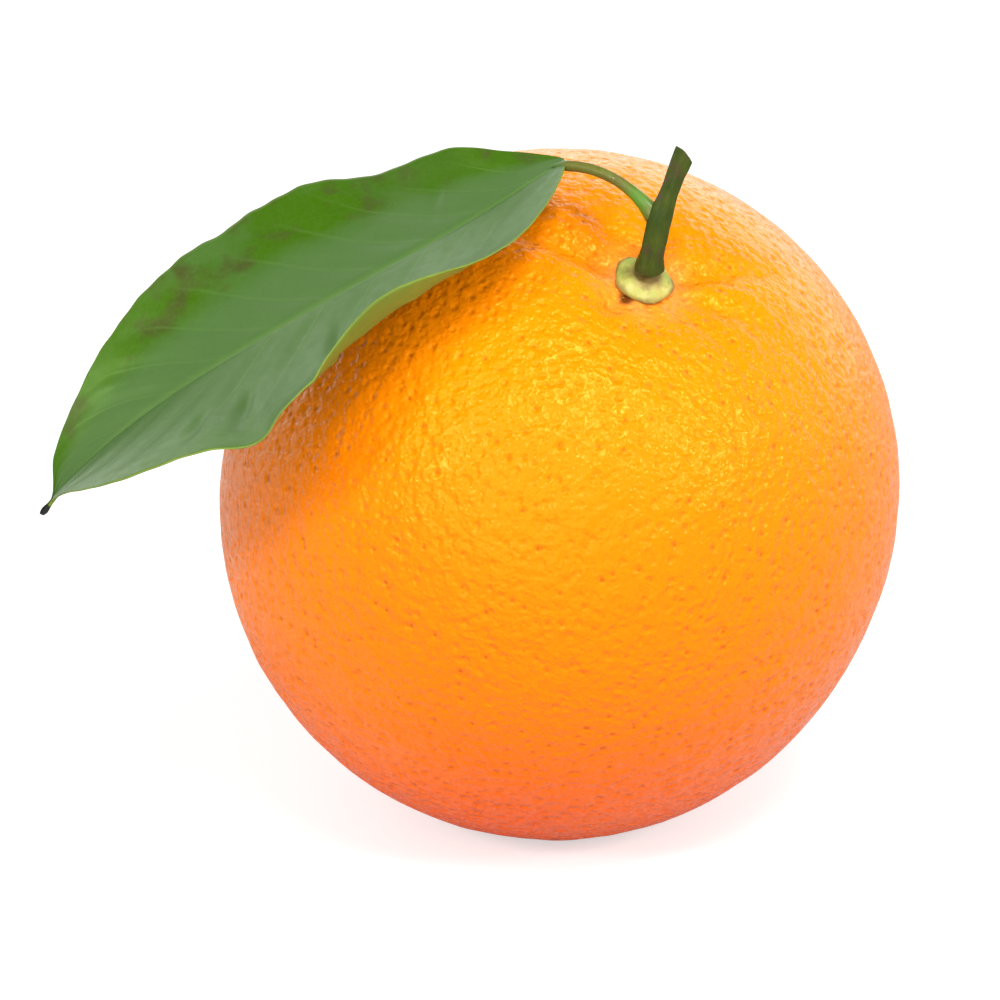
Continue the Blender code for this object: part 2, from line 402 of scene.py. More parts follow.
def make_rind_material():
    material, tree, shader = new_material("rind", Specular_IOR_Level=0.42, Subsurface_Weight=0.10)
    shader.inputs["Specular Tint"].default_value = (1.0, 0.74, 0.14, 1.0)
    shader.inputs["Subsurface Radius"].default_value = (1.0, 0.4, 0.1)
    shader.inputs["Subsurface Scale"].default_value = 0.0012
    coords = tree.nodes.new("ShaderNodeTexCoord").outputs["Object"]
    height = add(tree, "ShaderNodeSeparateXYZ", Vector=coords).outputs["Z"]
    patch = use_group(tree, mottle, Vector=coords, Size=0.018, Contrast=0.9)["Mask"]
    freckle = use_group(tree, mottle, Vector=coords, Size=0.004, Contrast=1.6, Shift=-0.35)["Mask"]

    cells = add(tree, "ShaderNodeTexVoronoi", Vector=coords, Scale=1.0 / GLAND_SPACING)
    pit = ramp(tree, cells.outputs["Distance"], 0.0, GLAND_REACH, 1.0, 0.0)
    small = add(tree, "ShaderNodeTexVoronoi", Vector=coords, Scale=2.3 / GLAND_SPACING)
    small_pit = ramp(tree, small.outputs["Distance"], 0.0, 0.6, 1.0, 0.0)
    cell_random = add(tree, "ShaderNodeSeparateColor", Color=cells.outputs["Color"]).outputs[0]

    # Painted shade and painted light: the base colour is redder low down and yellower on top, for how the
    # light falls.
    low = ramp(tree, height, 0.002, 0.034)
    high = ramp(tree, height, 0.030, 0.074)
    colour = blend_colours(tree, low, RIND_PAINTED_SHADE_RED, RIND_ORANGE)
    colour = blend_colours(tree, high, colour, RIND_PAINTED_LIGHT_YELLOW)
    colour = blend_colours(tree, maths(tree, "MULTIPLY", patch, 0.30), colour, RIND_ORANGE)
    core = ramp(tree, cells.outputs["Distance"], 0.06, 0.26, 1.0, 0.0)
    some = ramp(tree, cell_random, 0.50, 0.75)
    pore = maths(tree, "MULTIPLY", maths(tree, "MULTIPLY", core, some), 0.65)
    colour = blend_colours(tree, pore, colour, PORE_BROWN)
    away = distance_to(tree, coords, SEAT)
    near_calyx = ramp(tree, away, 0.0036, 0.0075, 0.55, 0.0)
    tan = maths(tree, "MULTIPLY", near_calyx, maths(tree, "ADD", freckle, 0.35), clamp=True)
    colour = blend_colours(tree, tan, colour, CALYX_TAN)
    # Painted shade: a near-black spot in the crevice at the calyx's lower left, where shade falls.
    crevice_shade = ramp(tree, distance_to(tree, coords, CREVICE), 0.0004, 0.0013, 0.9, 0.0)
    colour = blend_colours(tree, crevice_shade, colour, CREVICE_PAINTED_SHADE)
    put(tree, shader.inputs["Base Color"], colour)

    skin = use_group(tree, grain, Vector=coords, Size=0.00025)
    gloss = maths(tree, "ADD", maths(tree, "MULTIPLY", skin["Gloss"], 0.25), 0.27)
    rough = maths(tree, "ADD", gloss, maths(tree, "MULTIPLY", pit, 0.12), clamp=True)
    put(tree, shader.inputs["Roughness"], rough)

    pits = maths(tree, "MULTIPLY", pit, -1.0)
    relief = maths(tree, "ADD", pits, maths(tree, "MULTIPLY", small_pit, -0.35))
    pebbles = add(tree, "ShaderNodeTexNoise", Vector=coords, Scale=1.0 / PEBBLE_SIZE, Detail=1.5)
    relief = maths(tree, "ADD", relief, maths(tree, "MULTIPLY", pebbles.outputs[0], 2.2))
    bump = add(tree, "ShaderNodeBump", Strength=1.0, Distance=0.00017, Height=relief)
    fine = add(tree, "ShaderNodeBump", Strength=1.0, Distance=0.00001, Height=skin["Height"])
    put(tree, fine.inputs["Normal"], bump.outputs[0])
    put(tree, shader.inputs["Normal"], fine.outputs[0])
    return material


rind = add_piece("orange_rind", pitted_mesh, "fruit", [make_rind_material()])

# %% [markdown]
# ## The calyx
#
# The calyx is what is left of the flower's green cup: a low fleshy disc with five blunt lobes, brown and
# dry where it meets the rind. It is turned about the fruit's axis ring by ring, and each ring's radius
# swells towards the lobes.

# %% Calyx shape
CALYX_RADIUS = 0.0033
CALYX_LOBES = 5
CALYX_LOBE_DEPTH = 0.045
CALYX_TURN = 0.6                # where the first lobe points, in radians
CALYX_ROUGHNESS = 900.0         # waves per metre
CALYX_SEGMENTS = 120
# share of the radius, height above the seat
CALYX_PROFILE = (
    (0.55, -0.00035), (0.80, -0.00020), (0.93, 0.00002), (0.99, 0.00022), (1.00, 0.00042), (0.97, 0.00062),
    (0.90, 0.00078), (0.80, 0.00090), (0.70, 0.00100), (0.62, 0.00112), (0.56, 0.00128), (0.50, 0.00140),
    (0.42, 0.00146), (0.20, 0.00148),
)


def calyx_ring(share, height):
    ring = []
    for step in range(CALYX_SEGMENTS):
        turn = 2.0 * pi * step / CALYX_SEGMENTS
        lobe = 1.0 + CALYX_LOBE_DEPTH * share ** 2 * cos(CALYX_LOBES * turn + CALYX_TURN)
        valley = 0.00012 * share * (1.0 - cos(CALYX_LOBES * turn + CALYX_TURN)) / 2
        spoke = BEARING_0 * cos(turn) + BEARING_90 * sin(turn)
        radius = CALYX_RADIUS * share * lobe
        rough = noise.noise((spoke * radius + STEM_AXIS * height) * CALYX_ROUGHNESS)
        rise = height - valley + 0.00009 * rough * share
        ring.append(CENTRE + STEM_AXIS * (SEAT_HEIGHT + rise) + spoke * (radius + 0.00010 * rough))
    return ring


def closed_rings(name, rings):
    """A closed mesh from a stack of rings with the same number of points."""
    builder = bmesh.new()
    loops = [[builder.verts.new(point) for point in ring] for ring in rings]
    count = len(rings[0])
    for first, second in zip(loops, loops[1:]):
        for step in range(count):
            following = (step + 1) % count
            builder.faces.new((first[step], first[following], second[following], second[step]))
    builder.faces.new(loops[0])
    builder.faces.new(loops[-1])
    bmesh.ops.recalc_face_normals(builder, faces=builder.faces)
    mesh = bpy.data.meshes.new(name)
    builder.to_mesh(mesh)
    builder.free()
    mesh.shade_smooth()
    mesh.set_sharp_from_angle(angle=radians(50.0))
    return mesh


calyx_mesh = closed_rings("calyx", [calyx_ring(share, height) for share, height in CALYX_PROFILE])
print("calyx is", round(2000 * CALYX_RADIUS, 1), "mm across")

# %% Calyx material
CALYX_PALE = (0.54, 0.44, 0.10, 1.0)
CALYX_GREEN = (0.32, 0.38, 0.06, 1.0)
DRY_BROWN = (0.16, 0.075, 0.02, 1.0)


def make_calyx_material():
    material, tree, shader = new_material("calyx_green", Subsurface_Weight=0.15)
    shader.inputs["Subsurface Radius"].default_value = (1.0, 0.9, 0.3)
    shader.inputs["Subsurface Scale"].default_value = 0.0006
    coords = tree.nodes.new("ShaderNodeTexCoord").outputs["Object"]
    patch = use_group(tree, mottle, Vector=coords, Size=0.0030, Contrast=1.4)["Mask"]
    fleck = use_group(tree, mottle, Vector=coords, Size=0.0012, Contrast=2.0, Shift=-0.5)["Mask"]
    away = distance_to(tree, coords, SEAT)
    foot = ramp(tree, away, 0.00195, 0.00255, 0.75, 0.0)
    rim = ramp(tree, away, 0.00290, 0.00345, 0.0, 0.90)
    colour = blend_colours(tree, patch, CALYX_PALE, CALYX_GREEN)
    colour = blend_colours(tree, maths(tree, "MULTIPLY", fleck, 0.6), colour, DRY_BROWN)
    colour = blend_colours(tree, foot, colour, DRY_BROWN)
    worn = maths(tree, "MULTIPLY", rim, maths(tree, "ADD", patch, 0.25), clamp=True)
    colour = blend_colours(tree, worn, colour, DRY_BROWN)
    put(tree, shader.inputs["Base Color"], colour)
    skin = use_group(tree, grain, Vector=coords, Size=0.00018)
    put(tree, shader.inputs["Roughness"], maths(tree, "ADD", skin["Gloss"], 0.55, clamp=True))
    bump = add(tree, "ShaderNodeBump", Strength=1.0, Distance=0.00004, Height=skin["Height"])
    put(tree, shader.inputs["Normal"], bump.outputs[0])
    return material


calyx = add_piece("calyx_cup", calyx_mesh, "calyx", [make_calyx_material()])

# %% [markdown]
# ## The stem
#
# The stub of twig was cut with shears, so its end is flat and a little slanted. Citrus twigs are ribbed
# along their length and flare where they join the fruit. A tube is drawn ring by ring along the path,
# and the ribs are waves in each ring's radius.

# %% Stem shape
STEM_PATH = (
    Vector((0.0094, -0.0209, 0.0728)),
    Vector((0.0098, -0.0221, 0.0768)),
    Vector((0.0113, -0.0208, 0.0813)),
    Vector((0.0131, -0.0188, 0.0849)),
)
STEM_FOOT_RADIUS = 0.00162
STEM_RADIUS = 0.00128
STEM_TIP_RADIUS = 0.00098
STEM_RIBS = 5
RIB_HEIGHT = 0.06               # as a share of the radius
CUT_SLANT = 0.45                # rise of the cut across the end, over its width
STEM_SIDES = 60
STEM_RINGS = 110


def ring_frame(path, t):
    place, tangent = bezier(path, t)
    right = Vector((0.0, 1.0, 0.0)).cross(tangent).normalized()
    return place, tangent, right, tangent.cross(right)


def stem_radius(t, turn):
    shaft = STEM_RADIUS + (STEM_TIP_RADIUS - STEM_RADIUS) * float(smooth_step((t - 0.35) / 0.35))
    shaft += 0.00016 * float(smooth_step((t - 0.75) / 0.25))
    foot = (STEM_FOOT_RADIUS - STEM_RADIUS) * exp(-(t / 0.10) ** 2)
    node = 0.00022 * float(bell(t, 0.50, 0.11)) * max(0.0, cos(turn - pi))
    rib = 1.0 + RIB_HEIGHT * cos(STEM_RIBS * turn + 3.0 * t)
    return (shaft + node) * rib + foot


def stem_ring(t):
    place, tangent, right, up = ring_frame(STEM_PATH, t)
    ring = []
    for side in range(STEM_SIDES):
        turn = 2.0 * pi * side / STEM_SIDES
        spoke = right * cos(turn) + up * sin(turn)
        radius = stem_radius(t, turn)
        bark = noise.noise(Vector((cos(turn) * 3.0, sin(turn) * 3.0, t * 9.0)))
        slant = -tangent * radius * CUT_SLANT * cos(turn) * float(smooth_step((t - 0.8) / 0.2))
        ring.append(place + spoke * (radius + 0.00005 * bark) + slant)
    return ring


def end_cap(ring, tangent, sink, shares):
    """Rings that close a tube's end with a shallow hollow, from the rim to the middle."""
    middle = sum(ring, Vector()) / len(ring)
    return [[middle + (point - middle) * share - tangent * sink * (1.0 - share) for point in ring]
            for share in shares]


stem_rings = [stem_ring(ring / STEM_RINGS) for ring in range(STEM_RINGS + 1)]
stem_rings += end_cap(stem_rings[-1], bezier(STEM_PATH, 1.0)[1], 0.00015, (0.93, 0.7, 0.4, 0.12))
stem_mesh = closed_rings("stem", stem_rings)
print("stem radius at the tip", STEM_TIP_RADIUS)

# %% Stem material
BARK_GREEN = (0.030, 0.050, 0.005, 1.0)
BARK_LIGHT = (0.058, 0.076, 0.007, 1.0)
BARK_BROWN = (0.060, 0.045, 0.018, 1.0)
CUT_WOOD = (0.10, 0.13, 0.04, 1.0)


def make_stem_material():
    material, tree, shader = new_material("twig_green", Specular_IOR_Level=0.12)
    coords = tree.nodes.new("ShaderNodeTexCoord").outputs["Object"]
    patch = use_group(tree, mottle, Vector=coords, Size=0.0025, Contrast=1.3)["Mask"]
    stretched = add(tree, "ShaderNodeVectorMath", {"operation": "MULTIPLY"})
    put(tree, stretched.inputs[0], coords)
    put(tree, stretched.inputs[1], (1.0, 1.0, 0.16))
    streak = use_group(tree, mottle, Vector=stretched.outputs[0], Size=0.0005, Contrast=1.5)["Mask"]
    brown = use_group(tree, mottle, Vector=coords, Size=0.0019, Contrast=2.2, Shift=-0.55)["Mask"]
    away = distance_to(tree, coords, SEAT)
    foot = ramp(tree, away, 0.0018, 0.0036, 0.8, 0.0)
    colour = blend_colours(tree, patch, BARK_GREEN, BARK_LIGHT)
    colour = blend_colours(tree, maths(tree, "MULTIPLY", streak, 0.5), colour, BARK_GREEN)
    colour = blend_colours(tree, maths(tree, "MAXIMUM", brown, foot), colour, BARK_BROWN)
    to_end = distance_to(tree, coords, bezier(STEM_PATH, 1.0)[0])
    wood = ramp(tree, to_end, 0.0002, 0.0009, 0.8, 0.0)
    colour = blend_colours(tree, wood, colour, CUT_WOOD)
    put(tree, shader.inputs["Base Color"], colour)
    skin = use_group(tree, grain, Vector=stretched.outputs[0], Size=0.00012)
    put(tree, shader.inputs["Roughness"], maths(tree, "ADD", skin["Gloss"], 0.52, clamp=True))
    bump = add(tree, "ShaderNodeBump", Strength=0.8, Distance=0.00008, Height=skin["Height"])
    put(tree, shader.inputs["Normal"], bump.outputs[0])
    return material


stem = add_piece("twig_stub", stem_mesh, "stem", [make_stem_material()])

# %% [markdown]
# ## The leaf stalk
#
# The stalk leaves the twig from a swollen bright green foot and arches over to the blade. Its upper side
# is a little flattened, with a shallow channel. Its foot reaches into the twig, because the two have
# grown together.

# %% Stalk shape
STALK_PATH = (
    Vector((0.0106, -0.0213, 0.0778)),
    Vector((0.0074, -0.0196, 0.0823)),
    Vector((0.0037, -0.0166, 0.0835)),
    Vector((-0.0010, -0.0140, 0.0825)),
)
STALK_RADIUS = 0.00062
STALK_FOOT_RADIUS = 0.00118
STALK_SIDES = 40
STALK_RINGS = 90


def stalk_ring(t):
    place, tangent, right, up = ring_frame(STALK_PATH, t)
    size = STALK_RADIUS + (STALK_FOOT_RADIUS - STALK_RADIUS) * exp(-(t / 0.20) ** 2)
    size *= 1.0 - 0.60 * float(smooth_step((t - 0.88) / 0.12))
    ring = []
    for side in range(STALK_SIDES):
        turn = 2.0 * pi * side / STALK_SIDES
        channel = 1.0 - 0.16 * float(bell(sin(turn), 1.0, 0.35))
        spoke = right * cos(turn) + up * sin(turn) * 0.92
        bark = noise.noise(Vector((cos(turn) * 2.0, sin(turn) * 2.0, t * 8.0)))
        ring.append(place + spoke * size * channel * (1.0 + 0.05 * bark))
    return ring


stalk_mesh = closed_rings("stalk", [stalk_ring(ring / STALK_RINGS) for ring in range(STALK_RINGS + 1)])
print("stalk radius", STALK_RADIUS)

# %% Stalk material
STALK_OLIVE = (0.125, 0.145, 0.014, 1.0)
STALK_BROWN = (0.110, 0.085, 0.014, 1.0)
STALK_BRIGHT = (0.085, 0.200, 0.012, 1.0)
STALK_END_GREEN = (0.070, 0.140, 0.025, 1.0)


def make_stalk_material():
    material, tree, shader = new_material("stalk_green", Specular_IOR_Level=0.4)
    coords = tree.nodes.new("ShaderNodeTexCoord").outputs["Object"]
    patch = use_group(tree, mottle, Vector=coords, Size=0.0030, Contrast=1.6)["Mask"]
    to_foot = distance_to(tree, coords, bezier(STALK_PATH, 0.22)[0])
    foot = ramp(tree, to_foot, 0.0006, 0.0028, 1.0, 0.0)
    colour = blend_colours(tree, patch, STALK_OLIVE, STALK_BROWN)
    colour = blend_colours(tree, foot, colour, STALK_BRIGHT)
    to_blade = distance_to(tree, coords, bezier(STALK_PATH, 1.0)[0])
    end = ramp(tree, to_blade, 0.0008, 0.0026, 1.0, 0.0)
    colour = blend_colours(tree, end, colour, STALK_END_GREEN)
    put(tree, shader.inputs["Base Color"], colour)
    skin = use_group(tree, grain, Vector=coords, Size=0.00015)
    put(tree, shader.inputs["Roughness"], maths(tree, "ADD", skin["Gloss"], 0.45, clamp=True))
    bump = add(tree, "ShaderNodeBump", Strength=0.7, Distance=0.00004, Height=skin["Height"])
    put(tree, shader.inputs["Normal"], bump.outputs[0])
    return material


stalk = add_piece("leaf_stalk", stalk_mesh, "petiole", [make_stalk_material()])

# %% [markdown]
# ## The leaf blade
#
# The blade is folded along its midrib like a shallow trough that opens to the front. Its near margin
# turns up so far that its pale underside shows. Each row of the mesh is a walk from the midrib outwards in
# small steps whose slope changes, which bends the blade and keeps its true width.

# %% The folded blade
MIDRIB = (
    Vector((0.0003, -0.0137, 0.0831)),
    Vector((-0.0187, -0.0143, 0.0695)),
    Vector((-0.0444, -0.0290, 0.0642)),
    Vector((-0.0583, -0.0192, 0.0437)),
)
TROUGH_FACES = Vector((0.0, -0.940, 0.342))
END_WIDTH = 0.00025
TIP_BEAD = 0.00022
WIDTHS = {-1: (0.0181, 0.80, 1.12), 1: (0.0220, 0.97, 0.60)}    # greatest half width, peak, fullness
SLOPES = {-1: (50.0, 50.0, 20.0), 1: (66.0, 55.0, 85.0)}        # degrees at base, middle and tip
FAR_FLATTENING = 20.0
CURL = 62.0
CURL_PLACE = 0.37
CURL_SPREAD = 0.19
# side (-1 far, 1 near), place and spread along the leaf, degrees at the margin
MARGIN_WAVES = (
    (-1, 0.12, 0.04, -13.0),
    (-1, 0.25, 0.06, 14.0),
    (1, 0.60, 0.04, -12.0),
)
STATIONS = 190
STRIPS = 44


def three_point(values, t):
    base, middle, tip = values
    if t < 0.5:
        return base + (middle - base) * 2.0 * t
    return middle + (tip - middle) * (2.0 * t - 1.0)


def half_width(side, t):
    greatest, peak, fullness = WIDTHS[side]
    return END_WIDTH + (greatest - END_WIDTH) * max(sin(pi * t ** peak), 0.0) ** fullness


def slope(side, t, share):
    angle = three_point(SLOPES[side], t)
    if side < 0:
        angle -= FAR_FLATTENING * share
    else:
        angle += CURL * exp(-((t - CURL_PLACE) / CURL_SPREAD) ** 2) * share ** 2
    for wave_side, place, spread, degrees in MARGIN_WAVES:
        if wave_side == side:
            angle += degrees * exp(-((t - place) / spread) ** 2) * share
    return radians(angle)


# %% [markdown]
# The skin of the blade is not smooth. Side veins leave the midrib, the skin puffs up between them, and a
# few creases cross the near half. `skin_height` adds these up for one spot of the blade, given by its
# share of the length and its signed share of the half width.

# %% Veins, puffs and creases
VEINS = 11
VEIN_SLANT = 2.6
# along the leaf, signed share of the half width, half width of the crease, length, depth (metres)
CREASES = (
    (0.455, 0.55, 0.010, 0.40, 0.00085),
    (0.60, 0.60, 0.010, 0.30, 0.00055),
    (0.665, 0.62, 0.009, 0.30, 0.00045),
    (0.20, -0.45, 0.010, 0.35, 0.00016),
)


def vein_phase(t, share):
    """Distance to the nearest side vein, from 0 on it to 0.5 halfway between two."""
    phase = t * VEINS - abs(share) ** 0.85 * VEIN_SLANT
    return abs((phase % 1.0) - 0.5)


def skin_height(t, share):
    reach = smooth_step(abs(share) / 0.20) * (1.0 - smooth_step((abs(share) - 0.70) / 0.30))
    reach *= smooth_step((t - 0.04) / 0.20)
    puff = 0.00008 * cos(2.0 * pi * (vein_phase(t, share) - 0.5)) * reach
    vein = -0.00005 * bell(0.5 - vein_phase(t, share), 0.0, 0.10) * reach
    groove = -0.00022 * bell(share, 0.0, 0.035) * (1.0 - 0.6 * t)
    height = puff + vein + groove
    for place, middle, width, length, depth in CREASES:
        lean = (share - middle) * 0.10
        height -= depth * bell(t - lean, place, width) * bell(share, middle, length * 0.5)
    wave = noise.noise(Vector((t * 9.0, share * 2.2, 3.7))) * 0.00025
    return float(height + wave * smooth_step(abs(share) / 0.5))


def skin_thickness(t, share):
    """Half thickness: a keel under the midrib, thin towards the margin."""
    keel = 0.00030 * bell(share, 0.0, 0.045) * (1.0 - 0.75 * t)
    half = 0.00016 - 0.00007 * abs(share) ** 3 + 0.8 * TIP_BEAD * bell(t, 0.990, 0.010)
    return float(half), float(keel)


def blade_row(t):
    """Points across the leaf from the far margin to the near one: place, normal and signed share."""
    place, tangent = bezier(MIDRIB, t)
    across = TROUGH_FACES.cross(tangent).normalized()
    out = tangent.cross(across)
    halves = {}
    for side in (-1, 1):
        width = half_width(side, t) * (1.0 + 0.006 * sin(60.0 * t + side) + 0.004 * sin(143.0 * t))
        width *= 1.0 - 0.94 * float(smooth_step((t - 0.915) / 0.060))
        if side > 0:
            width *= 1.0 - 0.60 * float(smooth_step((t - 0.76) / 0.20))
        width += TIP_BEAD * float(bell(t, 0.990, 0.010))
        point = place.copy()
        row = []
        for strip in range(1, STRIPS + 1):
            middle = slope(side, t, (strip - 0.5) / STRIPS)
            point = point + (across * cos(middle) + out * sin(middle)) * side * width / STRIPS
            edge = slope(side, t, strip / STRIPS)
            row.append((point, out * cos(edge) - across * sin(edge), side * strip / STRIPS))
        halves[side] = row
    middle = 0.5 * (slope(-1, t, 0.0) + slope(1, t, 0.0))
    midrib = (place, out * cos(middle) - across * sin(middle), 0.0)
    return halves[-1][::-1] + [midrib] + halves[1]


def make_blade_mesh():
    """Upper and lower skins joined all round, with a map of length and width for the material."""
    builder = bmesh.new()
    spots = {}
    upper = []
    lower = []
    for station in range(STATIONS + 1):
        t = station / STATIONS
        top_row = []
        under_row = []
        fade = min(1.0, half_width(1, t) / 0.004)
        for point, normal, share in blade_row(t):
            height = skin_height(t, share) * fade
            half, keel = skin_thickness(t, share)
            top = builder.verts.new(point + normal * (height + half))
            under = builder.verts.new(point + normal * (height - half - keel))
            spots[top] = spots[under] = (t, 0.5 + 0.5 * share)
            top_row.append(top)
            under_row.append(under)
        upper.append(top_row)
        lower.append(under_row)
    last = 2 * STRIPS
    for i in range(STATIONS):
        for j in range(last):
            builder.faces.new((upper[i][j], upper[i + 1][j], upper[i + 1][j + 1], upper[i][j + 1]))
            under = (lower[i][j], lower[i][j + 1], lower[i + 1][j + 1], lower[i + 1][j])
            builder.faces.new(under).material_index = 1
        for j in (0, last):
            rim = (upper[i][j], lower[i][j], lower[i + 1][j], upper[i + 1][j])
            builder.faces.new(rim).material_index = 1
    for i in (0, STATIONS):
        for j in range(last):
            cap = (upper[i][j], upper[i][j + 1], lower[i][j + 1], lower[i][j])
            builder.faces.new(cap).material_index = 1
    bmesh.ops.recalc_face_normals(builder, faces=builder.faces)
    layer = builder.loops.layers.uv.new("blade_map")
    for face in builder.faces:
        for corner in face.loops:
            corner[layer].uv = spots[corner.vert]
    mesh = bpy.data.meshes.new("blade")
    builder.to_mesh(mesh)
    builder.free()
    mesh.shade_smooth()
    return mesh


blade_mesh = make_blade_mesh()
print("blade faces:", len(blade_mesh.polygons))

# %% [markdown]
# ## The leaf's finish
#
# The blade's map gives every spot its place along and across the leaf, so a shader node group can draw
# the veins for both sides: the midrib, the side veins and a fine net between them.

# %% Shared group: leaf veins
veins, into, out = new_group("leaf_veins", [("Map", None)], ["Midrib", "Side", "Net", "Margin", "Along"])
parts = add(veins, "ShaderNodeSeparateXYZ", Vector=into["Map"])
along = parts.outputs["X"]
signed = maths(veins, "MULTIPLY", maths(veins, "SUBTRACT", parts.outputs["Y"], 0.5), 2.0)
share = maths(veins, "ABSOLUTE", signed)
leaning = maths(veins, "MULTIPLY", maths(veins, "POWER", share, 0.85), VEIN_SLANT)
phase = maths(veins, "SUBTRACT", maths(veins, "MULTIPLY", along, float(VEINS)), leaning)
between = maths(veins, "ABSOLUTE", maths(veins, "SUBTRACT", maths(veins, "FRACT", phase), 0.5))
side_vein = ramp(veins, between, 0.0, 0.07, 1.0, 0.0)
side_fade = ramp(veins, share, 0.55, 0.98, 1.0, 0.0)
net_scale = add(veins, "ShaderNodeVectorMath", {"operation": "MULTIPLY"})
put(veins, net_scale.inputs[0], into["Map"])
put(veins, net_scale.inputs[1], (70.0, 36.0, 1.0))
to_edge = {"feature": "DISTANCE_TO_EDGE"}
net_cells = add(veins, "ShaderNodeTexVoronoi", to_edge, Vector=net_scale.outputs[0], Scale=1.0)
veins.links.new(ramp(veins, share, 0.010, 0.045, 1.0, 0.0), out["Midrib"])
veins.links.new(maths(veins, "MULTIPLY", side_vein, side_fade), out["Side"])
veins.links.new(ramp(veins, net_cells.outputs["Distance"], 0.0, 0.12, 1.0, 0.0), out["Net"])
veins.links.new(ramp(veins, share, 0.975, 1.0), out["Margin"])
veins.links.new(along, out["Along"])
print("group", veins.name)

# %% Upper and under side of the leaf
LEAF_PAINTED_SHEEN = (0.064, 0.132, 0.034, 1.0)
LEAF_SATURATED_GREEN = (0.038, 0.108, 0.001, 1.0)
LEAF_VEIN = (0.085, 0.170, 0.035, 1.0)
LEAF_PALE_EDGE = (0.16, 0.24, 0.05, 1.0)
LEAF_BROWN = (0.050, 0.060, 0.012, 1.0)
TIP_BLACK = (0.010, 0.012, 0.008, 1.0)
UNDER_GREEN = (0.200, 0.275, 0.035, 1.0)
UNDER_VEIN = (0.22, 0.28, 0.06, 1.0)
TIP_START = 0.975


def leaf_coords(tree):
    spot = add(tree, "ShaderNodeUVMap", {"uv_map": "blade_map"}).outputs[0]
    return spot, tree.nodes.new("ShaderNodeTexCoord").outputs["Object"]


def finish_leaf(tree, shader, colour, lines, skin, smoothness, depth):
    """Darken the very tip, then set colour, roughness and bump."""
    tip = ramp(tree, lines["Along"], TIP_START, TIP_START + 0.004)
    put(tree, shader.inputs["Base Color"], blend_colours(tree, tip, colour, TIP_BLACK))
    dull = maths(tree, "MULTIPLY", skin["Gloss"], 0.25)
    put(tree, shader.inputs["Roughness"], maths(tree, "ADD", dull, smoothness, clamp=True))
    net = maths(tree, "MULTIPLY", lines["Net"], 0.05)
    raised = maths(tree, "ADD", maths(tree, "MULTIPLY", lines["Side"], 0.8), net)
    height = maths(tree, "ADD", raised, maths(tree, "MULTIPLY", skin["Height"], 0.15))
    bump = add(tree, "ShaderNodeBump", Strength=1.0, Distance=depth, Height=height)
    put(tree, shader.inputs["Normal"], bump.outputs[0])


def make_leaf_material():
    material, tree, shader = new_material("leaf_green", Specular_IOR_Level=0.36)
    shader.inputs["Specular Tint"].default_value = (0.7, 1.0, 0.4, 1.0)
    spot, coords = leaf_coords(tree)
    lines = use_group(tree, veins, Map=spot)
    broad = use_group(tree, mottle, Vector=coords, Size=0.014, Contrast=1.3)["Mask"]
    blotch = use_group(tree, mottle, Vector=coords, Size=0.0045, Contrast=2.2, Shift=-0.55)["Mask"]
    signed = add(tree, "ShaderNodeSeparateXYZ", Vector=spot).outputs["Y"]
    # Painted reflection: the grey-green base over the midrib, the inner far half and most of the near half
    # stands in for a sheen of the lights; the saturated green is kept for the outer far margin and the
    # near half's outer edge towards the tip.
    far_half = ramp(tree, signed, 0.31, 0.13)
    outer_half = ramp(tree, lines["Along"], 0.45, 0.62)
    low_edge = maths(tree, "MULTIPLY", ramp(tree, signed, 0.80, 0.97), outer_half)
    outer = maths(tree, "MAXIMUM", far_half, maths(tree, "MULTIPLY", low_edge, 0.7))
    sheen_free = maths(tree, "MULTIPLY", outer, maths(tree, "ADD", broad, 0.45), clamp=True)
    colour = blend_colours(tree, sheen_free, LEAF_PAINTED_SHEEN, LEAF_SATURATED_GREEN)
    colour = blend_colours(tree, maths(tree, "MULTIPLY", blotch, far_half), colour, LEAF_BROWN)
    colour = blend_colours(tree, maths(tree, "MULTIPLY", lines["Net"], 0.12), colour, LEAF_VEIN)
    colour = blend_colours(tree, maths(tree, "MULTIPLY", lines["Side"], 0.30), colour, LEAF_VEIN)
    colour = blend_colours(tree, maths(tree, "MULTIPLY", lines["Midrib"], 0.65), colour, LEAF_VEIN)
    colour = blend_colours(tree, maths(tree, "MULTIPLY", lines["Margin"], 0.5), colour, LEAF_PALE_EDGE)
    skin = use_group(tree, grain, Vector=coords, Size=0.00020)
    finish_leaf(tree, shader, colour, lines, skin, 0.42, 0.00002)
    return material


def make_under_material():
    material, tree, shader = new_material("leaf_underside", Specular_IOR_Level=0.3)
    spot, coords = leaf_coords(tree)
    lines = use_group(tree, veins, Map=spot)
    broad = use_group(tree, mottle, Vector=coords, Size=0.010, Contrast=1.0)["Mask"]
    colour = blend_colours(tree, maths(tree, "MULTIPLY", broad, 0.4), UNDER_GREEN, LEAF_SATURATED_GREEN)
    colour = blend_colours(tree, maths(tree, "MULTIPLY", lines["Side"], 0.5), colour, UNDER_VEIN)
    colour = blend_colours(tree, maths(tree, "MULTIPLY", lines["Midrib"], 0.8), colour, UNDER_VEIN)
    skin = use_group(tree, grain, Vector=coords, Size=0.00020)
    finish_leaf(tree, shader, colour, lines, skin, 0.58, 0.00005)
    return material


leaf_materials = [make_leaf_material(), make_under_material()]
blade = add_piece("leaf", blade_mesh, "leaf_blade", leaf_materials)

# %% [markdown]
# ## Floor and light
#
# The floor is a pale sheet with a glow that only the camera sees, so it looks white without lighting the
# fruit from below. The main soft box hangs high in front, a wide one fills in from beside the camera, and
# two small ones at the sides put glints on the rind. The room is bright behind the fruit and dim behind
# the camera, so the rind's edges shine and its middle keeps its colour. The picture is exposed brightly.

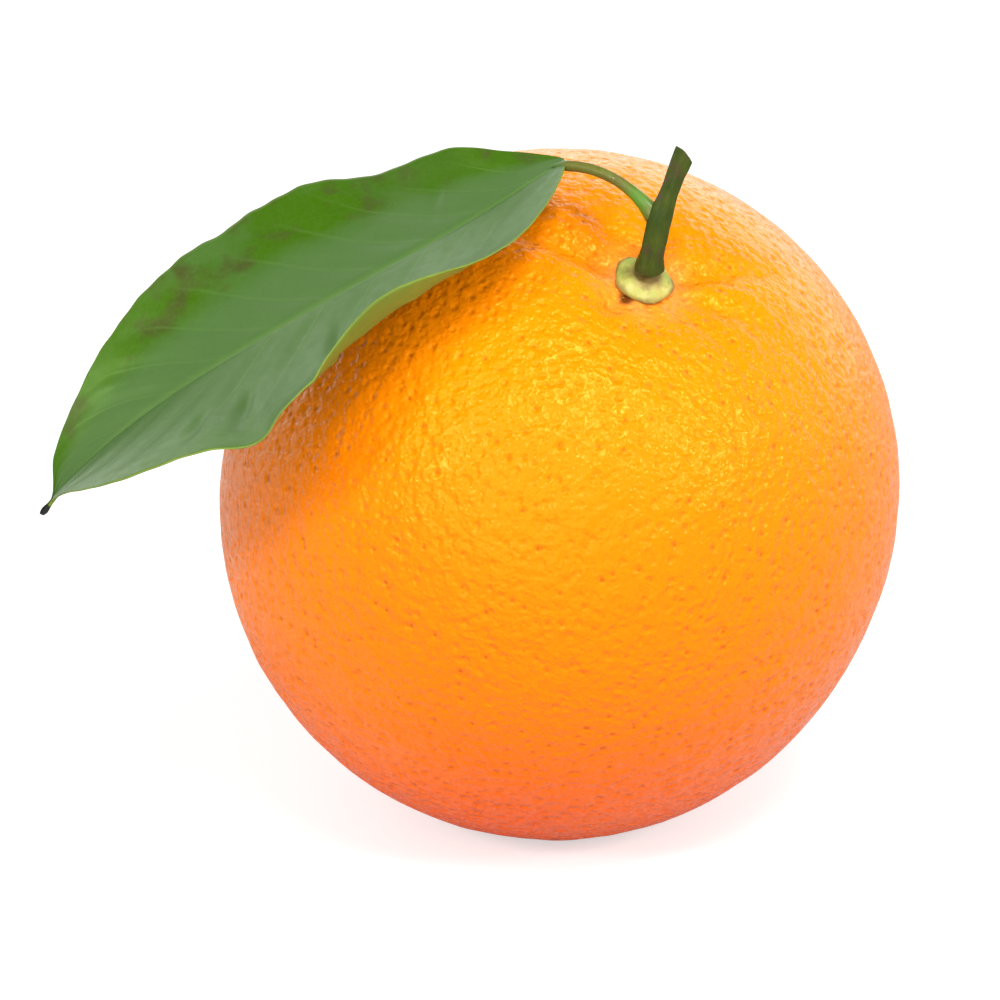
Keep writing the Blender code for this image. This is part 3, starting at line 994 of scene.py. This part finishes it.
# %% Floor
FLOOR_SIZE = 6.0
floor_mesh = bpy.data.meshes.new("floor")
edge = FLOOR_SIZE / 2
floor_corners = [(-edge, -edge, 0), (edge, -edge, 0), (edge, edge, 0), (-edge, edge, 0)]
floor_mesh.from_pydata(floor_corners, [], [(0, 1, 2, 3)])
floor = bpy.data.objects.new("floor", floor_mesh)
bpy.context.scene.collection.objects.link(floor)
floor_material, floor_tree, floor_shader = new_material("pale_sheet", Roughness=0.9)
floor_shader.inputs["Base Color"].default_value = (0.58, 0.58, 0.58, 1.0)
floor_shader.inputs["Specular IOR Level"].default_value = 0.1
floor_ray = floor_tree.nodes.new("ShaderNodeLightPath").outputs["Is Camera Ray"]
glow = blend_colours(floor_tree, floor_ray, (0.0, 0.0, 0.0, 1.0), (1.0, 1.0, 1.0, 1.0))
put(floor_tree, floor_shader.inputs["Emission Color"], glow)
floor_shader.inputs["Emission Strength"].default_value = 0.56
floor_mesh.materials.append(floor_material)

# %% Lights
LOOK_AT = Vector((0.0, 0.0, 0.045))
CAMERA_SIDE_LIGHT = 0.5
BACK_WALL_LIGHT = 2.1


def soft_box(name, direction, distance, size, power):
    light = bpy.data.lights.new(name, "AREA")
    light.shape = "RECTANGLE"
    light.size, light.size_y = size
    light.energy = power
    lamp = bpy.data.objects.new(name, light)
    bpy.context.scene.collection.objects.link(lamp)
    towards = Vector(direction).normalized()
    lamp.location = LOOK_AT + towards * distance
    lamp.rotation_euler = towards.to_track_quat("Z", "Y").to_euler()
    return lamp


soft_box("high_box", (0.16, -0.52, 0.84), 1.0, (0.30, 0.30), 6.2)
soft_box("right_box", (0.72, -0.50, 0.49), 1.0, (0.12, 0.22), 4.0)
soft_box("left_box", (-0.60, -0.62, 0.50), 1.0, (0.12, 0.16), 3.0)
soft_box("front_box", (-0.25, -0.88, 0.40), 1.2, (1.3, 1.3), 9.0)

world = bpy.data.worlds.new("pale_room")
world.use_nodes = True
sky = world.node_tree
direction = sky.nodes.new("ShaderNodeTexCoord").outputs["Generated"]
heading = add(sky, "ShaderNodeSeparateXYZ", Vector=direction)
back = ramp(sky, heading.outputs["Y"], -0.1, 0.8, CAMERA_SIDE_LIGHT, BACK_WALL_LIGHT)
ceiling = ramp(sky, heading.outputs["Z"], 0.45, 0.80, 1.0, 0.06)
room = maths(sky, "MULTIPLY", back, ceiling)
ray = sky.nodes.new("ShaderNodeLightPath")
background = sky.nodes["Background"]
put(sky, background.inputs["Strength"], maths(sky, "MAXIMUM", room, ray.outputs["Is Camera Ray"]))
background.inputs["Color"].default_value = (1.0, 1.0, 1.0, 1.0)
bpy.context.scene.world = world
bpy.context.scene.view_settings.view_transform = "Standard"
print("lights ready")
